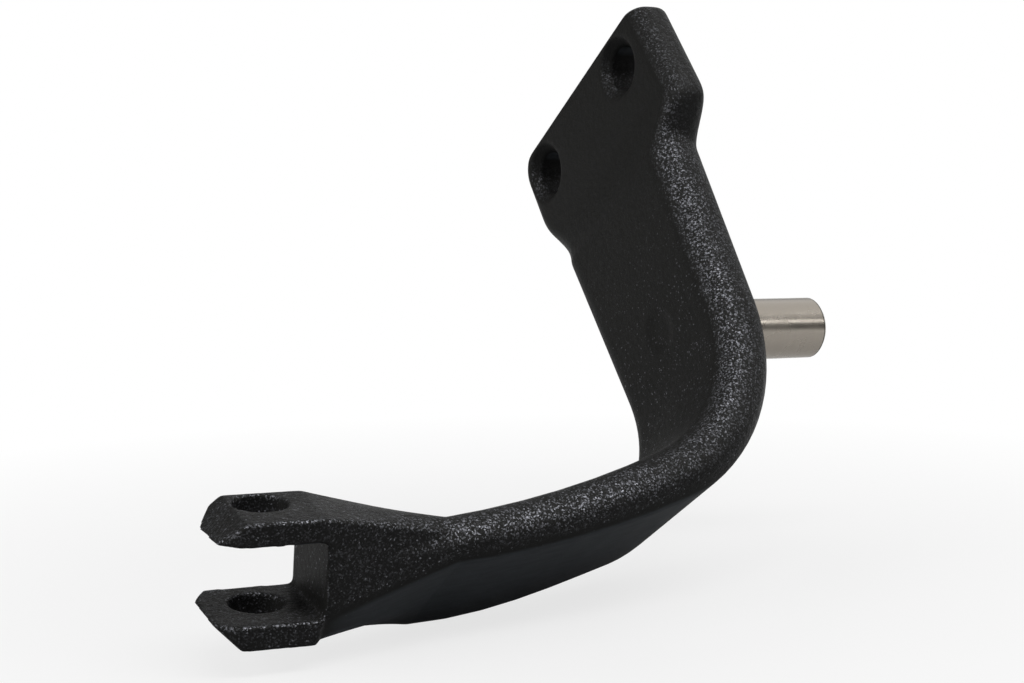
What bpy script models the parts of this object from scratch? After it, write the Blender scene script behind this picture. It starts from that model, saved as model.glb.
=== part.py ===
"""Motorcycle footrest hanger, as it is bolted to the frame.

One forging carries everything: a plate with two bolt holes, a leg below it, a wide bend, a tapering arm, and
a clevis for the footrest that is turned about the arm. A ground steel pin is pressed into the leg from the
frame side. X points away from the motorcycle, Z is up, and the origin is on the back of the plate, midway
between the bolt holes.
"""

import math

import bmesh
import bpy
from mathutils import Matrix, Vector

MM = 0.001

# Plate: sizes are from the middle of the two bolt holes
PLATE_THICKNESS = 10.5 * MM
BOLT_SPACING = 38.0 * MM
BOLT_HOLE = 10.0 * MM
COUNTERSINK = 2.0 * MM
TOP_MARGIN = 8.1 * MM
FRONT_MARGIN = 12.5 * MM
REAR_MARGIN = 9.9 * MM
FRONT_FLARE = 1.6 * MM
FRONT_CORNER = 1.8 * MM
REAR_CORNER = 5.5 * MM
PLATE_TOP_EDGE = 1.2 * MM
PLATE_SIDE_EDGE = 4.0 * MM
FRONT_SHOULDER = 16.0 * MM
REAR_SHOULDER = 8.0 * MM

# Leg: its inner face stands proud of the plate, and a ramp joins the two
LEG_PROUD = 4.0 * MM
RAMP_TOP = 14.0 * MM
LEG_TOP = 27.0 * MM
RAMP_EASE = 1.3
LEG_OFFSET = 3.2 * MM
LEG_WIDTH = 47.2 * MM
LEG_THICKNESS = 12.5 * MM
BAR_EDGE = 5.6 * MM
PIVOT_DROP = 60.0 * MM
PIVOT_OFFSET = 4.0 * MM
BEND_BELOW_PIVOT = 6.0 * MM

# Bend and arm: the arm drifts to the rear in the bend, and the bend's outer side is relieved towards the rear
BEND_WIDTH = 43.5 * MM
BEND_RADIUS = 36.6 * MM
BEND_ANGLE = math.radians(73.5)
BEND_RELIEF = 2.6 * MM
ARM_DRIFT = 2.5 * MM
ARM_LENGTH = 51.0 * MM
ARM_RISE = math.radians(14.0)
ARM_ROOT_WIDTH = 40.0 * MM
ARM_WIDTH = 31.6 * MM
ARM_THICKNESS = 9.6 * MM

# Clevis: where its bore's middle lies, seen from the arm's end, and how it is turned
CLEVIS_AHEAD = 34.1 * MM
CLEVIS_RISE = 4.2 * MM
CLEVIS_SIDE = 3.3 * MM
CLEVIS_TILT = math.radians(6.1)
CLEVIS_YAW = math.radians(-6.2)
CLEVIS_ROLL = math.radians(43.3)
SLOT = 14.2 * MM
SLOT_DEPTH = 9.3 * MM
SLOT_ROOT = 1.0 * MM
UPPER_EAR = 4.4 * MM
LOWER_EAR = 4.7 * MM
EAR_BORE = 10.0 * MM
EAR_FRONT = 11.8 * MM
EAR_BACK = 8.7 * MM
UPPER_EDGE_IN = 2.2 * MM
UPPER_EDGE_DOWN = 4.0 * MM
EAR_TIP = 10.7 * MM
EAR_BEVEL = 5.2 * MM
TIP_BLUNT = 0.6 * MM
EAR_FRONT_CHAMFER = (4.2 * MM, 3.2 * MM)
EAR_BACK_CHAMFER = (3.2 * MM, 5.0 * MM)
CLEVIS_EDGE = 0.8 * MM
HEEL = (2.6 * MM, 6.0 * MM)
HEEL_STEP = 1.6 * MM

# Pivot pin, in a blind bore
PIN_DIAMETER = 13.2 * MM
PIN_PROUD = 27.4 * MM
PIN_SEAT = 9.0 * MM
PIN_CHAMFER = 0.8 * MM
PIN_CLEARANCE = 0.3 * MM
WITNESS_DIMPLE = 10.4 * MM
WITNESS_FLOOR = 5.8 * MM
WITNESS_DEPTH = 0.5 * MM

# How finely the surfaces are divided
SPAN_STEPS = 8
PLATE_STEPS = 22
CORNER_STEPS = 8
BEND_STEPS = 18
ARM_STEPS = 6
RAMP_STEPS = 12
ROUND_STEPS = 48
CORNER_PULL = (math.sqrt(2) - 1) / math.sqrt(2)
SLOT_ROOT_STEPS = 4
SHARP_FROM = math.radians(28.0)

# The most of a side that one eased corner may take, so that two never meet
MOST_OF_SIDE = 0.4
MOST_OF_THICKNESS = 0.49

# How far a cutter runs past the metal that it cuts
PAST = 5.0 * MM

UP = Vector((0, 0, 1))
FRONT = Vector((0, 1, 0))
OUT = Vector((1, 0, 0))

plate_face = PLATE_THICKNESS
leg_face = PLATE_THICKNESS + LEG_PROUD
leg_middle = leg_face - LEG_THICKNESS / 2
plate_front = BOLT_SPACING / 2 + FRONT_MARGIN
plate_rear = -BOLT_SPACING / 2 - REAR_MARGIN
leg_front = LEG_OFFSET + LEG_WIDTH / 2
leg_rear = LEG_OFFSET - LEG_WIDTH / 2
upper_face = SLOT / 2 + UPPER_EAR
lower_face = -SLOT / 2 - LOWER_EAR


def clear_scene():
    for thing in list(bpy.data.objects):
        bpy.data.objects.remove(thing, do_unlink=True)


def mix(a, b, t):
    return a + (b - a) * t


def eased(value, start, end):
    """0 at start, 1 at end, level at both."""
    t = min(max((value - start) / (end - start), 0.0), 1.0)
    return t * t * (3 - 2 * t)


def rounded_in(radius, depth):
    """How far a corner of this radius draws its side in, at a depth below its top."""
    short = max(radius - depth, 0.0)
    return radius - math.sqrt(radius**2 - short**2)


# Sections: every ring runs front edge, inner flat, rear edge, outer flat, in six spans


def bar_ring(centre, across, outward, width, thickness, edge, relief=0.0):
    """A flat bar's section with rounded edges, from the middle of its front edge. Relief thins its rear."""
    edge = min(edge, MOST_OF_THICKNESS * thickness)
    ring = []
    for corner_across, corner_out, turn in ((1, 1, 0), (-1, 1, 90), (-1, -1, 180), (1, -1, 270)):
        hub = centre + across * corner_across * (width / 2 - edge) + outward * corner_out * (thickness / 2 - edge)
        if turn == 180:
            hub += outward * relief
        arc = []
        for step in range(SPAN_STEPS):
            angle = math.radians(turn + 90 * step / (SPAN_STEPS - 1))
            arc.append(hub + (across * math.cos(angle) + outward * math.sin(angle)) * edge)
        ring.append(arc)
    middle_front = centre + across * width / 2
    middle_rear = centre - across * width / 2
    inner = [ring[0][-1].lerp(ring[1][0], step / SPAN_STEPS) for step in range(1, SPAN_STEPS)]
    outer = [ring[2][-1].lerp(ring[3][0], step / SPAN_STEPS) for step in range(1, SPAN_STEPS)]
    return [middle_front, *ring[0], *inner, *ring[1], middle_rear, *ring[2], *outer, *ring[3]]


def edged_ring(corners, edge):
    """A polygon with its corners eased, divided as bar_ring divides the bar's section."""
    ring = []
    count = len(corners)
    for index, corner in enumerate(corners):
        before = corners[index - 1] - corner
        after = corners[(index + 1) % count] - corner
        near = min(edge, MOST_OF_SIDE * before.length, MOST_OF_SIDE * after.length)
        far = min(edge, MOST_OF_SIDE * after.length)
        toward = after.normalized()
        steps = SPAN_STEPS if index in (1, 4) else SPAN_STEPS + 1
        ring.append(corner + (before.normalized() + toward) * near * CORNER_PULL)
        for step in range(steps - 1):
            ring.append(corner + toward * mix(near, after.length - far, step / (steps - 2)))
    return ring


def plate_ring(height):
    """The plate's and the leg's level section, at a height measured from the bolt holes."""
    below_top = TOP_MARGIN - height
    easing = rounded_in(PLATE_TOP_EDGE, below_top)
    flare = FRONT_FLARE * (below_top / (TOP_MARGIN + FRONT_SHOULDER))
    front = mix(plate_front + flare, leg_front, eased(-height, FRONT_SHOULDER, LEG_TOP))
    front -= rounded_in(FRONT_CORNER, below_top)
    rear = mix(plate_rear, leg_rear, eased(-height, REAR_SHOULDER, LEG_TOP))
    rear += rounded_in(REAR_CORNER, below_top)
    ramp = min(max((-height - RAMP_TOP) / (LEG_TOP - RAMP_TOP), 0.0), 1.0) ** RAMP_EASE
    face = mix(plate_face, leg_face, ramp) - easing
    back = mix(0.0, leg_face - LEG_THICKNESS, eased(-height, RAMP_TOP, LEG_TOP)) + easing
    edge = mix(PLATE_SIDE_EDGE, BAR_EDGE, ramp)
    centre = Vector(((face + back) / 2, (front + rear) / 2, height))
    return bar_ring(centre, FRONT, OUT, front - rear, face - back, edge)


def along_bar():
    """Centre and heading, from the leg's top round the bend to the arm's end, with the length so far."""
    place = Vector((leg_middle, LEG_OFFSET, -LEG_TOP))
    drop = PIVOT_DROP + BEND_BELOW_PIVOT - LEG_TOP
    yield place.copy(), 0.0, 0.0
    place -= UP * drop
    yield place.copy(), 0.0, drop
    length = drop
    for steps, travel, start, turn, drift in (
        (BEND_STEPS, BEND_RADIUS * BEND_ANGLE, 0.0, BEND_ANGLE, ARM_DRIFT),
        (ARM_STEPS, ARM_LENGTH, BEND_ANGLE, ARM_RISE, 0.0),
    ):
        for step in range(steps):
            middle = start + turn * (step + 0.5) / steps
            place += Vector((math.sin(middle), 0, -math.cos(middle))) * travel / steps
            place -= FRONT * drift / steps
            length += travel / steps
            yield place.copy(), start + turn * (step + 1) / steps, length


def bar_rings():
    stations = list(along_bar())
    bend_start = stations[1][2]
    bend_end = stations[1 + BEND_STEPS][2]
    total = stations[-1][2]
    rings = []
    for place, heading, length in stations:
        if length <= bend_start:
            width = mix(LEG_WIDTH, BEND_WIDTH, length / bend_start)
        elif length <= bend_end:
            width = mix(BEND_WIDTH, ARM_ROOT_WIDTH, (length - bend_start) / (bend_end - bend_start))
        else:
            width = mix(ARM_ROOT_WIDTH, ARM_WIDTH, (length - bend_end) / (total - bend_end))
        past_leg = max(length - bend_start, 0.0)
        thickness = mix(LEG_THICKNESS, ARM_THICKNESS, past_leg / (total - bend_start))
        relief = BEND_RELIEF * eased(length, bend_start, (bend_start + bend_end) / 2)
        relief *= 1 - eased(length, bend_end, total)
        inward = Vector((math.cos(heading), 0, math.sin(heading)))
        rings.append(bar_ring(place, FRONT, inward, width, thickness, BAR_EDGE, relief))
    return rings


def clevis_axes():
    """The bore's middle, and unit vectors along the arm, towards the front face, and along the bore."""
    place, heading, _ = list(along_bar())[-1]
    ahead = Vector((math.sin(heading), 0, -math.cos(heading)))
    inward = Vector((math.cos(heading), 0, math.sin(heading)))
    centre = place + ahead * CLEVIS_AHEAD + inward * CLEVIS_RISE + FRONT * CLEVIS_SIDE
    tilted = ahead * math.cos(CLEVIS_TILT) + inward * math.sin(CLEVIS_TILT)
    inward = inward * math.cos(CLEVIS_TILT) - ahead * math.sin(CLEVIS_TILT)
    reach = tilted * math.cos(CLEVIS_YAW) + FRONT * math.sin(CLEVIS_YAW)
    sideways = FRONT * math.cos(CLEVIS_YAW) - tilted * math.sin(CLEVIS_YAW)
    bore = sideways * math.cos(CLEVIS_ROLL) + inward * math.sin(CLEVIS_ROLL)
    face = sideways * math.sin(CLEVIS_ROLL) - inward * math.cos(CLEVIS_ROLL)
    return centre, reach, face, bore


def clevis_ring(along, front, back, upper, lower, heel):
    """A section of the clevis. The corner under the lower ear is cut off by the heel."""
    centre, reach, face, bore = clevis_axes()

    def at(towards_face, along_bore):
        return centre + reach * along + face * towards_face + bore * along_bore

    corners = [
        at(front, upper),
        at(UPPER_EDGE_IN - back, upper),
        at(-back, upper - UPPER_EDGE_DOWN),
        at(-back, lower),
        at(front - heel[0], lower),
        at(front, lower + heel[1]),
    ]
    return edged_ring(corners, CLEVIS_EDGE)


def clevis_rings():
    """The block behind the slot, and the ears with their bevelled, chamfered ends."""
    full = (EAR_FRONT, EAR_BACK, upper_face, lower_face)
    small_heel = (0.5 * CLEVIS_EDGE, 0.5 * CLEVIS_EDGE)
    bevel_start = EAR_TIP - EAR_BEVEL

    def ear_ring(along):
        front_cut = max(along - (EAR_TIP - EAR_FRONT_CHAMFER[0]), 0.0) / EAR_FRONT_CHAMFER[0]
        back_cut = max(along - (EAR_TIP - EAR_BACK_CHAMFER[0]), 0.0) / EAR_BACK_CHAMFER[0]
        front = EAR_FRONT - EAR_FRONT_CHAMFER[1] * front_cut
        back = EAR_BACK - EAR_BACK_CHAMFER[1] * back_cut
        share = max(along - bevel_start, 0.0) / EAR_BEVEL
        upper = upper_face - UPPER_EAR * share
        lower = lower_face + LOWER_EAR * share
        return clevis_ring(along, front, back, upper, lower, small_heel)

    return [
        clevis_ring(-SLOT_DEPTH, *full, HEEL),
        clevis_ring(-SLOT_DEPTH + HEEL_STEP, *full, small_heel),
        ear_ring(bevel_start),
        ear_ring(EAR_TIP - EAR_FRONT_CHAMFER[0]),
        ear_ring(EAR_TIP - EAR_BACK_CHAMFER[0]),
        ear_ring(EAR_TIP + TIP_BLUNT),
    ]


def heights():
    """Levels down the plate: close together round its top corners, then even to the top of the leg."""
    levels = [TOP_MARGIN - REAR_CORNER * (step / CORNER_STEPS) ** 2 for step in range(CORNER_STEPS)]
    first = TOP_MARGIN - REAR_CORNER
    levels += [mix(first, -LEG_TOP, step / PLATE_STEPS) for step in range(PLATE_STEPS)]
    return levels


def loft(mesh_name, rings):
    """One closed skin over a row of rings that have as many points each."""
    shape = bmesh.new()
    rows = [[shape.verts.new(point) for point in ring] for ring in rings]
    count = len(rows[0])
    for first, second in zip(rows, rows[1:]):
        for index in range(count):
            after = (index + 1) % count
            shape.faces.new((first[index], first[after], second[after], second[index]))
    shape.faces.new(rows[0])
    shape.faces.new(rows[-1])
    bmesh.ops.recalc_face_normals(shape, faces=shape.faces)
    mesh = bpy.data.meshes.new(mesh_name)
    shape.to_mesh(mesh)
    shape.free()
    return mesh


def turned(mesh_name, profile, start, axis):
    """A solid of revolution. The profile is (distance along the axis, radius), and both ends are closed."""
    side = axis.orthogonal().normalized()
    other = axis.cross(side)
    rings = []
    for along, radius in profile:
        ring = []
        for step in range(ROUND_STEPS):
            angle = 2 * math.pi * step / ROUND_STEPS
            ring.append(start + axis * along + (side * math.cos(angle) + other * math.sin(angle)) * radius)
        rings.append(ring)
    return loft(mesh_name, rings)


def add_object(name, mesh):
    thing = bpy.data.objects.new(name, mesh)
    bpy.context.scene.collection.objects.link(thing)
    return thing


def cut(target, name, mesh):
    """Takes the mesh's shape out of the target."""
    cutter = add_object(name, mesh)
    cutter.hide_render = True
    cutter.display_type = "WIRE"
    boolean = target.modifiers.new(name, "BOOLEAN")
    boolean.operation = "DIFFERENCE"
    boolean.solver = "EXACT"
    boolean.object = cutter


def finish(thing, name, colour, roughness, metallic):
    material = bpy.data.materials.new(name)
    material.use_nodes = True
    shader = material.node_tree.nodes["Principled BSDF"]
    shader.inputs["Base Color"].default_value = (*colour, 1)
    shader.inputs["Roughness"].default_value = roughness
    shader.inputs["Metallic"].default_value = metallic
    thing.data.materials.append(material)
    thing.data.shade_smooth()
    thing.data.set_sharp_from_angle(angle=SHARP_FROM)


def bridge(first, second, steps):
    """The rings strictly between two others, along straight lines from point to point."""
    between = []
    for step in range(1, steps):
        share = step / steps
        between.append([a.lerp(b, share) for a, b in zip(first, second)])
    return between


def make_forging():
    plate = [plate_ring(height) for height in heights()]
    bar = bar_rings()
    clevis = clevis_rings()
    ramp = bridge(bar[-1], clevis[0], RAMP_STEPS)
    return add_object("hanger", loft("hanger", plate + bar + ramp + clevis))


def cut_slot(hanger):
    """The gap between the ears, open past their tips and at both faces, with its root corners eased."""
    centre, reach, face, bore = clevis_axes()
    length = SLOT_DEPTH + EAR_TIP + PAST
    width = EAR_FRONT + EAR_BACK + 2 * PAST
    shape = bmesh.new()
    bmesh.ops.create_cube(shape, size=1)
    bmesh.ops.scale(shape, vec=(length, width, SLOT), verts=shape.verts)
    root = [edge for edge in shape.edges if all(vert.co.x < 0 for vert in edge.verts)]
    root = [edge for edge in root if abs(edge.verts[0].co.y - edge.verts[1].co.y) > 0.5 * width]
    bmesh.ops.bevel(shape, geom=root, offset=SLOT_ROOT, segments=SLOT_ROOT_STEPS, profile=0.5, affect="EDGES")
    turn = Matrix((reach, face, bore)).transposed().to_4x4()
    if turn.determinant() < 0:
        bmesh.ops.reverse_faces(shape, faces=shape.faces)
    middle = centre + reach * (length / 2 - SLOT_DEPTH) + face * (EAR_FRONT - EAR_BACK) / 2
    bmesh.ops.transform(shape, matrix=Matrix.Translation(middle) @ turn, verts=shape.verts)
    mesh = bpy.data.meshes.new("slot_cutter")
    shape.to_mesh(mesh)
    shape.free()
    cut(hanger, "slot_cutter", mesh)


def cut_holes(hanger):
    centre, _, _, bore = clevis_axes()
    length = upper_face - lower_face + 2 * PAST
    ear_profile = [(0, EAR_BORE / 2), (length, EAR_BORE / 2)]
    start = centre + bore * (lower_face - PAST)
    cut(hanger, "ear_bore_cutter", turned("ear_bore_cutter", ear_profile, start, bore))

    bolt = BOLT_HOLE / 2
    bolt_profile = [
        (0, bolt),
        (PAST + PLATE_THICKNESS - COUNTERSINK, bolt),
        (PAST + PLATE_THICKNESS + PAST, bolt + COUNTERSINK + PAST),
    ]
    for name, side in (("front", 1), ("rear", -1)):
        start = Vector((-PAST, side * BOLT_SPACING / 2, 0))
        cut(hanger, f"{name}_bolt_cutter", turned(f"{name}_bolt_cutter", bolt_profile, start, OUT))

    seat = PIN_DIAMETER / 2 + PIN_CLEARANCE
    depth = PIN_SEAT + PIN_CLEARANCE
    floor = Vector((leg_face - LEG_THICKNESS + depth, PIVOT_OFFSET, -PIVOT_DROP))
    pin_profile = [(0, seat), (depth + PAST, seat)]
    cut(hanger, "pin_bore_cutter", turned("pin_bore_cutter", pin_profile, floor, -OUT))


def cut_witness(hanger):
    """The shallow round dimple that the forging shows opposite the pin."""
    start = Vector((leg_face - WITNESS_DEPTH, PIVOT_OFFSET, -PIVOT_DROP))
    radius = WITNESS_DIMPLE / 2
    above = 2 * radius - WITNESS_FLOOR / 2
    dish = [(0, WITNESS_FLOOR / 2), (2 * WITNESS_DEPTH, above), (WITNESS_DEPTH + PAST, above)]
    cut(hanger, "dimple_cutter", turned("dimple_cutter", dish, start, OUT))


def make_pin():
    radius = PIN_DIAMETER / 2
    length = PIN_SEAT + PIN_PROUD
    profile = [
        (0, radius - PIN_CHAMFER),
        (PIN_CHAMFER, radius),
        (length - PIN_CHAMFER, radius),
        (length, radius - PIN_CHAMFER),
    ]
    start = Vector((leg_face - LEG_THICKNESS + PIN_SEAT, PIVOT_OFFSET, -PIVOT_DROP))
    return add_object("pivot_pin", turned("pivot_pin", profile, start, -OUT))


clear_scene()
hanger = make_forging()
finish(hanger, "black_powder_coat", (0.012, 0.012, 0.014), 0.5, 0.0)
cut_slot(hanger)
cut_holes(hanger)
cut_witness(hanger)
pin = make_pin()
finish(pin, "ground_steel", (0.56, 0.55, 0.53), 0.28, 1.0)
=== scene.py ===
import math

import bmesh
import bpy
from mathutils import Matrix, Vector


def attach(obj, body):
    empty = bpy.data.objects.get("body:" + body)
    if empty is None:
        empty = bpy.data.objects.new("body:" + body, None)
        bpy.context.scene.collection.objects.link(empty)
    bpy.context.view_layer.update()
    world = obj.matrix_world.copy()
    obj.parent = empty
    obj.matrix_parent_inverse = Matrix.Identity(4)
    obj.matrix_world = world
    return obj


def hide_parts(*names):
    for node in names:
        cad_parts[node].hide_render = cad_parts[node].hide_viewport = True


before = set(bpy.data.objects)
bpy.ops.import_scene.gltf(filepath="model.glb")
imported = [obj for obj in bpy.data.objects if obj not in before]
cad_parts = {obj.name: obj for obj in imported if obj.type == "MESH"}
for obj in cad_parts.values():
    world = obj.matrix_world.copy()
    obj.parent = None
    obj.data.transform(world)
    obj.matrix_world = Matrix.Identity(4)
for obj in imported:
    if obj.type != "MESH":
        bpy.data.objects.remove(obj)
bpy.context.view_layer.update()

scene = bpy.context.scene
scene.view_settings.view_transform = "Standard"


# The hanger: one steel forging that carries a footrest, held to the frame by two bolts through its plate.
# It is shot-blasted, ground flat under the arm, and powder-coated in black with a fine metallic sparkle.
# The coat rounds every edge, and it is thicker and rougher over the rounded ridge than on the ground flat.

MM = 0.001
HANGER_WELD = 0.002 * MM
COAT_GRID = 0.45 * MM
GRID_EVENING = 4
COAT_EVENING = 6
EVENING_STEP = 0.5
COAT_KEPT = 0.64
CREASE_START = Vector((0.1095, 0.0207, -0.1081))
CREASE_END = Vector((0.0846, 0.0165, -0.1096))
CREASE_REACH = 2.6 * MM
CREASE_FIRMNESS = 1.5
CREASE_AT_START = 0.25
CREASE_EVENING = 30


def merged_copy(node, name, weld):
    """A copy of a solid's mesh with its loose triangles joined."""
    shape = bmesh.new()
    shape.from_mesh(node.data)
    bmesh.ops.remove_doubles(shape, verts=shape.verts, dist=weld)
    bmesh.ops.dissolve_degenerate(shape, edges=shape.edges, dist=weld)
    mesh = bpy.data.meshes.new(name)
    shape.to_mesh(mesh)
    shape.free()
    piece = bpy.data.objects.new(name, mesh)
    scene.collection.objects.link(piece)
    return piece


def settle(piece):
    """Turns what the modifiers make into the piece's own plain mesh."""
    bpy.context.view_layer.update()
    state = bpy.context.evaluated_depsgraph_get()
    finished = bpy.data.meshes.new_from_object(
        piece.evaluated_get(state), preserve_all_data_layers=True, depsgraph=state)
    piece.modifiers.clear()
    piece.data = finished
    finished.name = piece.name


def even_out(piece, turns, group=""):
    """Draws each point of the surface towards its neighbours, a given number of times."""
    smoother = piece.modifiers.new("even", "SMOOTH")
    smoother.factor = EVENING_STEP
    smoother.iterations = turns
    smoother.vertex_group = group


def soften_crease(piece):
    """Evens a band round the crease where the ramp meets the upper ear, and most of all at its far end."""
    band = piece.vertex_groups.new(name="ramp crease")
    way = CREASE_END - CREASE_START
    for vertex in piece.data.vertices:
        share = (vertex.co - CREASE_START).dot(way) / way.length_squared
        nearest = CREASE_START + way * min(max(share, 0.0), 1.0)
        closeness = 1.0 - (vertex.co - nearest).length / CREASE_REACH
        if closeness > 0.0:
            across = min(1.0, CREASE_FIRMNESS * closeness)
            lengthwise = min(1.0, CREASE_AT_START + max(share, 0.0))
            band.add([vertex.index], across * lengthwise, "REPLACE")
    even_out(piece, CREASE_EVENING, band.name)


def blank_material(name):
    """A new material with an empty tree."""
    material = bpy.data.materials.new(name)
    material.use_nodes = True
    material.node_tree.nodes.clear()
    return material, material.node_tree


def add_node(tree, kind, inputs, **settings):
    """A node with its settings made, and each named input linked to a socket or set to a value."""
    node = tree.nodes.new(kind)
    for name, setting in settings.items():
        setattr(node, name, setting)
    for name, given in inputs.items():
        if isinstance(given, bpy.types.NodeSocket):
            tree.links.new(given, node.inputs[name])
        else:
            node.inputs[name].default_value = given
    return node


def worked_out(tree, operation, *terms):
    """The result of one Math node, whose terms come in the order of its inputs."""
    return add_node(tree, "ShaderNodeMath", dict(enumerate(terms)), operation=operation).outputs["Value"]


def product(tree, first, *others):
    """The terms multiplied from left to right."""
    for other in others:
        first = worked_out(tree, "MULTIPLY", first, other)
    return first


def larger(tree, one, other):
    """The larger of two values."""
    return worked_out(tree, "MAXIMUM", one, other)


def ramp_between(tree, source, low, high, low_value=0.0, high_value=1.0):
    """Spreads a value from one range to another, and holds it at the ends."""
    spread = add_node(tree, "ShaderNodeMapRange", {
        "Value": source, "From Min": low, "From Max": high, "To Min": low_value, "To Max": high_value})
    return spread.outputs["Result"]


def along(tree, source, way):
    """How far a direction points a given way: one for the same way, minus one for the opposite."""
    dot = add_node(tree, "ShaderNodeVectorMath", {0: source, 1: way}, operation="DOT_PRODUCT")
    return dot.outputs["Value"]


def cloudy(tree, place, scale, detail, **others):
    """A cloudy value, between nought and one, that changes from place to place."""
    clouds = add_node(tree, "ShaderNodeTexNoise", {
        "Vector": place, "Scale": scale, "Detail": detail, **others})
    return clouds.outputs["Fac"]


def mixed_colour(tree, share, one, other):
    """The first colour where the share is nought, and the second where it is one."""
    mix = add_node(tree, "ShaderNodeMix", {"Factor": share, "A": one, "B": other}, data_type="RGBA")
    return mix.outputs["Result"]


GRAIN_SCALES = {"Grain Scale": 2000.0, "Fleck Scale": 3600.0, "Peel Scale": 700.0}
GRAIN_DETAIL = 3.0
GRAIN_HARSHNESS = 0.7
PEEL_DETAIL = 1.0
PATCH_SCALE = 90.0
PATCH_DETAIL = 2.0
FLECK_RARITY = 5.5
STRAY_RARITY = 60.0
FLECK_HEIGHT = 0.9
PEEL_HEIGHT = 1.6


def make_blasted_grain():
    """The grain of a sparkling coat: its height, its flecks, a few stray ones, and patches in its gloss."""
    group = bpy.data.node_groups.new("blasted_grain", "ShaderNodeTree")
    face = group.interface
    face.new_socket("Position", in_out="INPUT", socket_type="NodeSocketVector")
    for name, scale in GRAIN_SCALES.items():
        face.new_socket(name, in_out="INPUT", socket_type="NodeSocketFloat").default_value = scale
    for name in ("Height", "Flecks", "Stray Flecks", "Patches"):
        face.new_socket(name, in_out="OUTPUT", socket_type="NodeSocketFloat")
    given = group.nodes.new("NodeGroupInput").outputs
    place = given["Position"]

    grain = cloudy(group, place, given["Grain Scale"], GRAIN_DETAIL, Roughness=GRAIN_HARSHNESS)
    peel = cloudy(group, place, given["Peel Scale"], PEEL_DETAIL)
    flakes = add_node(group, "ShaderNodeTexVoronoi", {"Vector": place, "Scale": given["Fleck Scale"]})
    fleck = add_node(group, "ShaderNodeSeparateColor", {"Color": flakes.outputs["Color"]}).outputs
    rough = worked_out(group, "MULTIPLY_ADD", fleck["Green"], FLECK_HEIGHT, grain)
    add_node(group, "NodeGroupOutput", {
        "Height": worked_out(group, "MULTIPLY_ADD", peel, PEEL_HEIGHT, rough),
        "Flecks": worked_out(group, "POWER", fleck["Red"], FLECK_RARITY),
        "Stray Flecks": worked_out(group, "POWER", fleck["Red"], STRAY_RARITY),
        "Patches": cloudy(group, place, PATCH_SCALE, PATCH_DETAIL),
    })
    return group


blasted_grain = make_blasted_grain()

COAT_BLACK = (0.0125, 0.0124, 0.0117, 1)
# The second black is painted shade, given to the faces that look down.
COAT_PAINTED_SHADE = (0.0065, 0.0066, 0.0066, 1)
COAT_FLECK = (0.23, 0.235, 0.26, 1)
COAT_SPECULAR = 0.06
COAT_DULL = 0.62
COAT_RELIEF = 0.16 * MM
# The two bluish tones of the ground flat: real grinding strokes, in a lighter bluish tone that is painted
# reflection of the floor below.
GROUND_AND_REFLECTION_DARK = (0.014, 0.0155, 0.0175, 1)
GROUND_AND_REFLECTION_LIGHT = (0.032, 0.036, 0.041, 1)
GROUND_WAY = (-0.15, -0.03, -0.985)
STROKE_STRETCH = (0.12, 1.0, 0.4)
STROKE_SCALE = 1300.0
STROKE_DETAIL = 3.0

# Each of these spreads reads: from, to, what it gives at the first and what it gives at the second
BLASTED_OFF_GROUND = (0.72, 0.93, 1.0, 0.08)
BLACK_OFF_GROUND = (0.93, 0.98, 1.0, 0.0)
# The spreads named for sparkle place the flecks by which way a face looks, so that they crowd where the lamp
# lights the ridge and thin out on faces in shade: painted sparkle.
SPARKLE_IN_FRONT = (0.2, 0.7, 0.04, 1.0)
SPARKLE_OFF_TOP = (0.35, 0.65, 1.0, 0.25)
SPARKLE_OFF_UNDERSIDE = (0.3, 0.6, 1.0, 0.2)
SPARKLE_OUTWARD = (-0.1, 0.35, 0.35, 1.0)
SPARKLE_PAST_LEG = (20 * MM, 45 * MM, 0.0, 1.0)
SPARKLE_BELOW_PLATE = (-28 * MM, -16 * MM, 1.0, 0.4)
STRAYS_LOW_DOWN = (-70 * MM, -30 * MM, 0.7, 0.0)
GRAIN_IN_FRONT = (0.04, 1.0, 0.4, 1.0)
GLOSS_ON_RIDGE = (0.0, 1.0, 0.45, 1.0)
GLOSS_IN_PATCHES = (0.3, 0.7, 0.28, 0.36)


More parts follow.
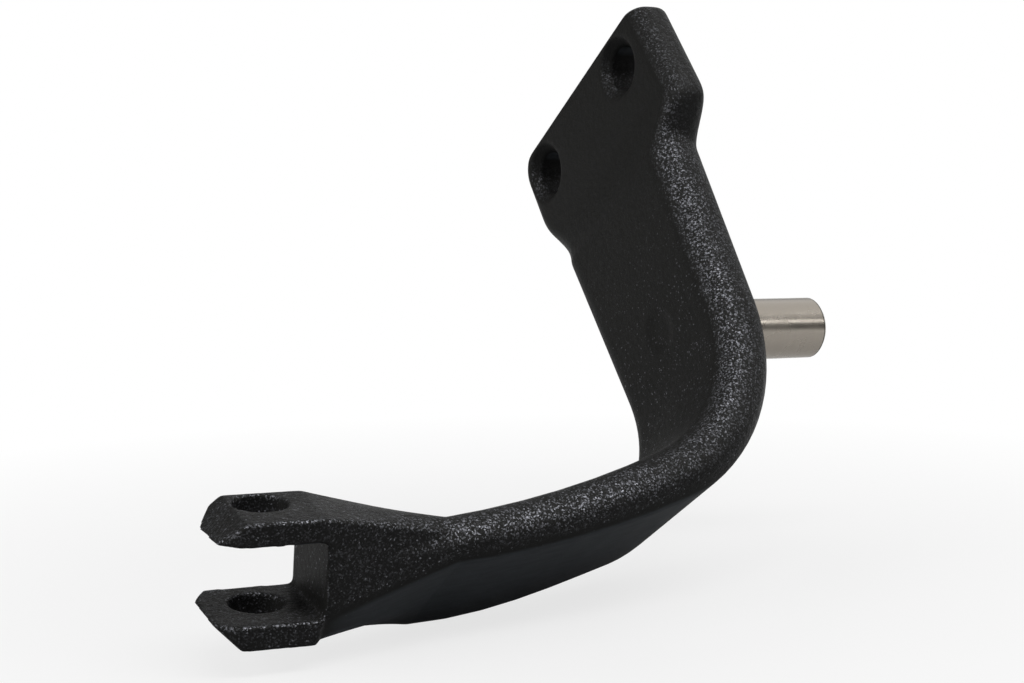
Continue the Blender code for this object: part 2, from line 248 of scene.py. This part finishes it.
def make_powder_coat():
    """Black, with flecks that crowd on the lit ridge as painted sparkle and thin out elsewhere, painted
    shade on the faces that look down, and a bluish painted reflection over the grinding strokes where it is
    ground.
    """
    material, tree = blank_material("black_powder_coat")
    place = tree.nodes.new("ShaderNodeTexCoord").outputs
    axes = add_node(tree, "ShaderNodeSeparateXYZ", {"Vector": place["Object"]}).outputs
    grain = add_node(
        tree, "ShaderNodeGroup", {"Position": place["Object"]}, node_tree=blasted_grain).outputs

    def facing(way, spread):
        """A spread over how far the surface faces a given way."""
        return ramp_between(tree, along(tree, place["Normal"], way), *spread)

    blasted = facing(GROUND_WAY, BLASTED_OFF_GROUND)
    off_underside = facing((0, 0, -1), SPARKLE_OFF_UNDERSIDE)
    front = facing((0, 1, 0), SPARKLE_IN_FRONT)
    ridge = product(tree, front, facing((0, 0, 1), SPARKLE_OFF_TOP))
    past_leg = ramp_between(tree, axes["X"], *SPARKLE_PAST_LEG)
    outer = larger(tree, facing((1, 0, 0), SPARKLE_OUTWARD), past_leg)
    here = product(tree, ramp_between(tree, axes["Z"], *SPARKLE_BELOW_PLATE), outer)
    # Painted highlight: the flecks are real, but they are crowded where the ridge catches the lamp and
    # thinned on faces in shade.
    sparkling = product(tree, ridge, product(tree, off_underside, blasted), here)
    low_down = product(tree, ramp_between(tree, axes["Z"], *STRAYS_LOW_DOWN), blasted)
    strays = product(tree, grain["Stray Flecks"], low_down)
    flecks = larger(tree, product(tree, grain["Flecks"], sparkling), strays)

    lengthwise = add_node(tree, "ShaderNodeMapping", {"Vector": place["Object"], "Scale": STROKE_STRETCH})
    strokes = cloudy(tree, lengthwise.outputs["Vector"], STROKE_SCALE, STROKE_DETAIL)
    # Grinding strokes on the ground flat, coloured with a painted reflection of the floor: bluish and
    # lighter than the black.
    ground = mixed_colour(tree, strokes, GROUND_AND_REFLECTION_DARK, GROUND_AND_REFLECTION_LIGHT)
    # Painted shade: the faces that look down get the darker black.
    black = mixed_colour(tree, off_underside, COAT_PAINTED_SHADE, COAT_BLACK)
    plain = mixed_colour(tree, facing(GROUND_WAY, BLACK_OFF_GROUND), ground, black)

    glossy = product(tree, ramp_between(tree, ridge, *GLOSS_ON_RIDGE), blasted)
    patchy = ramp_between(tree, grain["Patches"], *GLOSS_IN_PATCHES)
    rough = add_node(tree, "ShaderNodeMix", {"Factor": glossy, "A": COAT_DULL, "B": patchy})
    grained = product(tree, ramp_between(tree, front, *GRAIN_IN_FRONT), blasted)
    bump = add_node(tree, "ShaderNodeBump", {
        "Strength": grained, "Distance": COAT_RELIEF, "Height": grain["Height"]})
    powder = add_node(tree, "ShaderNodeBsdfPrincipled", {
        "Base Color": mixed_colour(tree, flecks, plain, COAT_FLECK),
        "Metallic": flecks,
        "Roughness": rough.outputs["Result"],
        "Specular IOR Level": COAT_SPECULAR,
        "Normal": bump.outputs["Normal"],
    })
    add_node(tree, "ShaderNodeOutputMaterial", {"Surface": powder.outputs["BSDF"]})
    return material


hanger = merged_copy(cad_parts["hanger"], "hanger_coated", HANGER_WELD)
coat = hanger.modifiers.new("coat", "REMESH")
coat.mode = "VOXEL"
coat.voxel_size = COAT_GRID
even_out(hanger, GRID_EVENING)
wrap = hanger.modifiers.new("wrap", "SHRINKWRAP")
wrap.wrap_method = "NEAREST_SURFACEPOINT"
wrap.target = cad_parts["hanger"]
even_out(hanger, COAT_EVENING)
settle(hanger)
soften_crease(hanger)
thinned = hanger.modifiers.new("thinned", "DECIMATE")
thinned.ratio = COAT_KEPT
settle(hanger)
hanger.data.shade_smooth()
hanger.data.materials.clear()
hanger.data.materials.append(make_powder_coat())
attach(hanger, "root")
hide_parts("hanger")


# The pivot pin: a bright steel pin, ground on centres and pressed into the leg. The grinding leaves fine
# rings round it. Its end has a small turned chamfer; the thin dark ring painted a little way behind it
# stands in for the dark reflection along the chamfer's edge.

PIN_WELD = 0.002 * MM
PIN_EDGE_ANGLE = math.radians(20.0)
PIN_DARK = (0.32, 0.288, 0.247, 1)
PIN_BRIGHT = (0.38, 0.347, 0.305, 1)
RING_STRETCH = (1.0, 0.02, 0.02)
RING_SCALE = 5200.0
RING_DETAIL = 3.0
RING_RELIEF = 0.04 * MM
RING_STRENGTH = 0.05
SMEAR_SCALE = 160.0
SMEAR_DETAIL = 2.0
SMEARED_GLOSS = (0.3, 0.7, 0.2, 0.3)
END_RING_PAINTED_DARK = (0.06, 0.055, 0.045, 1)
END_RING_X = -24.5 * MM
END_RING_REACH = 0.13 * MM


def make_ground_steel():
    """Bright steel with rings from grinding, a smeary gloss and one painted dark ring, a reflection near the
    end.
    """
    material, tree = blank_material("ground_steel")
    place = tree.nodes.new("ShaderNodeTexCoord").outputs["Object"]
    stretched = add_node(tree, "ShaderNodeMapping", {"Vector": place, "Scale": RING_STRETCH})
    rings = cloudy(tree, stretched.outputs["Vector"], RING_SCALE, RING_DETAIL)
    smear = cloudy(tree, place, SMEAR_SCALE, SMEAR_DETAIL)
    axes = add_node(tree, "ShaderNodeSeparateXYZ", {"Vector": place}).outputs
    # Painted reflection: a thin dark ring round the pin near its end, where the chamfer's edge reflects
    # darkness.
    painted_end_ring = worked_out(tree, "COMPARE", axes["X"], END_RING_X, END_RING_REACH)
    bright = mixed_colour(tree, rings, PIN_DARK, PIN_BRIGHT)
    bump = add_node(tree, "ShaderNodeBump", {
        "Strength": RING_STRENGTH, "Distance": RING_RELIEF, "Height": rings})
    steel = add_node(tree, "ShaderNodeBsdfPrincipled", {
        "Base Color": mixed_colour(tree, painted_end_ring, bright, END_RING_PAINTED_DARK),
        "Metallic": 1.0,
        "Roughness": ramp_between(tree, smear, *SMEARED_GLOSS),
        "Normal": bump.outputs["Normal"],
    })
    add_node(tree, "ShaderNodeOutputMaterial", {"Surface": steel.outputs["BSDF"]})
    return material


pin = merged_copy(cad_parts["pivot_pin"], "pivot_pin_ground", PIN_WELD)
pin.data.shade_smooth()
pin.data.set_sharp_from_angle(angle=PIN_EDGE_ANGLE)
flats = pin.modifiers.new("flats", "WEIGHTED_NORMAL")
flats.keep_sharp = True
settle(pin)
pin.data.materials.clear()
pin.data.materials.append(make_ground_steel())
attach(pin, "root")
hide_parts("pivot_pin")


# The camera: it stands as the photograph's did, close to the part, below it and in front of it. Its place,
# turn and lens are those of the fit to the photograph that the part's sizes come from.

EYE = Vector((0.270962, 0.324385, -0.265917))
LOOK_RIGHT = Vector((-0.865272, 0.405523, -0.294713))
LOOK_UP = Vector((-0.026097, 0.550658, 0.834323))
LOOK_BACK = Vector((0.500623, 0.729607, -0.465886))
LENS = 75.964
SENSOR_WIDTH = 36.0
NEAREST_SEEN = 0.01
FARTHEST_SEEN = 20.0


def placed(place, right, up, back):
    """The matrix of a camera or lamp that looks away from its back direction."""
    return Matrix.Translation(place) @ Matrix((right, up, back)).transposed().to_4x4()


camera_data = bpy.data.cameras.new("camera")
camera_data.lens = LENS
camera_data.sensor_width = SENSOR_WIDTH
camera_data.clip_start = NEAREST_SEEN
camera_data.clip_end = FARTHEST_SEEN
camera = bpy.data.objects.new("camera", camera_data)
scene.collection.objects.link(camera)
camera.matrix_world = placed(EYE, LOOK_RIGHT, LOOK_UP, LOOK_BACK)
scene.camera = camera


# The floor: a wide white sheet that the part rests on. It is drawn from above only, so that it hides nothing
# when the part is looked at from underneath. Near the part it keeps the shadow, and farther off it is white.

PART_MIDDLE = Vector((0.05, 0.0, -0.06))
FLOOR_PITCH = math.radians(7.0)
FLOOR_TILT = math.radians(-1.0)
FLOOR_REACH = 4.0
FLOOR_GAP = 0.2 * MM
FLOOR_PALE = (0.5, 0.5, 0.5, 1)
FLOOR_ROUGHNESS = 0.45
FLOOR_NEAR = 0.07
FLOOR_FAR = 0.22
WHITE_WHERE_SEEN = (FLOOR_NEAR, FLOOR_FAR, 0.75, 1.0)
WHITE_WHERE_MIRRORED = (FLOOR_NEAR, 3 * FLOOR_FAR, 0.1, 1.0)

floor_lean = LOOK_UP * math.cos(FLOOR_TILT) + LOOK_RIGHT * math.sin(FLOOR_TILT)
floor_up = floor_lean * math.cos(FLOOR_PITCH) + LOOK_BACK * math.sin(FLOOR_PITCH)
floor_across = LOOK_RIGHT * math.cos(FLOOR_TILT) - LOOK_UP * math.sin(FLOOR_TILT)
floor_along = floor_up.cross(floor_across).normalized()
lowest = min(floor_up.dot(vertex.co) for vertex in hanger.data.vertices)
floor_middle = PART_MIDDLE + floor_up * (lowest - FLOOR_GAP - floor_up.dot(PART_MIDDLE))


def make_floor_white():
    """Pale paper that turns to plain white away from the part, and that is clear from underneath."""
    material, tree = blank_material("floor_white")
    paper = add_node(tree, "ShaderNodeBsdfPrincipled", {
        "Base Color": FLOOR_PALE, "Roughness": FLOOR_ROUGHNESS})
    white = tree.nodes.new("ShaderNodeEmission")
    clear = tree.nodes.new("ShaderNodeBsdfTransparent")
    side = tree.nodes.new("ShaderNodeNewGeometry").outputs
    ray = tree.nodes.new("ShaderNodeLightPath").outputs
    place = tree.nodes.new("ShaderNodeTexCoord").outputs
    reach = add_node(tree, "ShaderNodeVectorMath", {
        0: place["Object"], 1: floor_middle}, operation="DISTANCE").outputs["Value"]
    seen = product(tree, ray["Is Camera Ray"], ramp_between(tree, reach, *WHITE_WHERE_SEEN))
    bounced = larger(tree, ray["Is Glossy Ray"], ray["Is Transmission Ray"])
    mirrored = product(tree, bounced, ramp_between(tree, reach, *WHITE_WHERE_MIRRORED))
    above = add_node(tree, "ShaderNodeMixShader", {
        0: larger(tree, seen, mirrored), 1: paper.outputs["BSDF"], 2: white.outputs["Emission"]})
    both = add_node(tree, "ShaderNodeMixShader", {
        0: side["Backfacing"], 1: above.outputs["Shader"], 2: clear.outputs["BSDF"]})
    add_node(tree, "ShaderNodeOutputMaterial", {"Surface": both.outputs["Shader"]})
    return material


floor_mesh = bpy.data.meshes.new("floor")
floor_corners = [
    floor_middle + floor_across * across * FLOOR_REACH + floor_along * lengthwise * FLOOR_REACH
    for across, lengthwise in ((-1, -1), (1, -1), (1, 1), (-1, 1))
]
floor_mesh.from_pydata(floor_corners, [], [(0, 1, 2, 3)])
if floor_mesh.polygons[0].normal.dot(floor_up) < 0:
    floor_mesh.flip_normals()
floor = bpy.data.objects.new("floor", floor_mesh)
scene.collection.objects.link(floor)
floor_mesh.materials.append(make_floor_white())


# The light: a large soft lamp above the camera, a weak strip to its right and a wide lamp to its left, in a
# dim room with one bright window high up behind the part. The camera sees the room as plain white, and so
# does a reflection of what lies straight behind the part.

PLAIN_WHITE = (1, 1, 1, 1)
ROOM_LIGHT = 0.13
WINDOW_LIGHT = 1.0
WINDOW_WAY = (LOOK_RIGHT * 0.45 + LOOK_UP * 0.8 - LOOK_BACK * 0.35).normalized()
WINDOW_EDGE = (0.66, 0.9)
BACKDROP_EDGE = (0.9, 0.97)


def from_camera(way):
    """A direction in space, from how far it goes to the camera's right, up and back."""
    return LOOK_RIGHT * way[0] + LOOK_UP * way[1] + LOOK_BACK * way[2]


def add_softbox(name, way, across, distance, wide, high, power):
    """A soft lamp at a distance from the part's middle, facing it, its long side lying one way."""
    data = bpy.data.lights.new(name, "AREA")
    data.shape = "RECTANGLE"
    data.size = wide
    data.size_y = high
    data.energy = power
    lamp = bpy.data.objects.new(name, data)
    scene.collection.objects.link(lamp)
    way = from_camera(way).normalized()
    across = from_camera(across)
    across = (across - way * across.dot(way)).normalized()
    lamp.matrix_world = placed(PART_MIDDLE + way * distance, across, way.cross(across), way)


def make_white_room():
    """Plain white to the camera and to reflections of the backdrop, and otherwise dim with a window."""
    world = bpy.data.worlds.new("white_room")
    world.use_nodes = True
    sky = world.node_tree
    sky.nodes.clear()
    towards = sky.nodes.new("ShaderNodeTexCoord").outputs["Generated"]
    ray = sky.nodes.new("ShaderNodeLightPath").outputs
    window = ramp_between(sky, along(sky, towards, WINDOW_WAY), *WINDOW_EDGE, ROOM_LIGHT, WINDOW_LIGHT)
    room = add_node(sky, "ShaderNodeBackground", {"Color": PLAIN_WHITE, "Strength": window})
    backdrop = add_node(sky, "ShaderNodeBackground", {"Color": PLAIN_WHITE})
    behind = ramp_between(sky, along(sky, towards, -LOOK_BACK), *BACKDROP_EDGE)
    bounced = larger(sky, ray["Is Glossy Ray"], ray["Is Transmission Ray"])
    seen = larger(sky, ray["Is Camera Ray"], product(sky, bounced, behind))
    choose = add_node(sky, "ShaderNodeMixShader", {
        0: seen, 1: room.outputs["Background"], 2: backdrop.outputs["Background"]})
    add_node(sky, "ShaderNodeOutputWorld", {"Surface": choose.outputs["Shader"]})
    return world


add_softbox("overhead_softbox", way=(0.26, 0.79, 0.55), across=(0.855, -0.09, -0.26),
            distance=2.7, wide=3.0, high=0.8, power=64.0)
add_softbox("side_strip", way=(0.815, 0.386, 0.41), across=(0.5, 0.0, -0.86),
            distance=2.4, wide=0.9, high=0.22, power=3.4)
add_softbox("left_fill", way=(-0.8, 0.4, 0.4), across=(0.0, 1.0, 0.0),
            distance=2.5, wide=2.0, high=1.6, power=27.0)
scene.world = make_white_room()
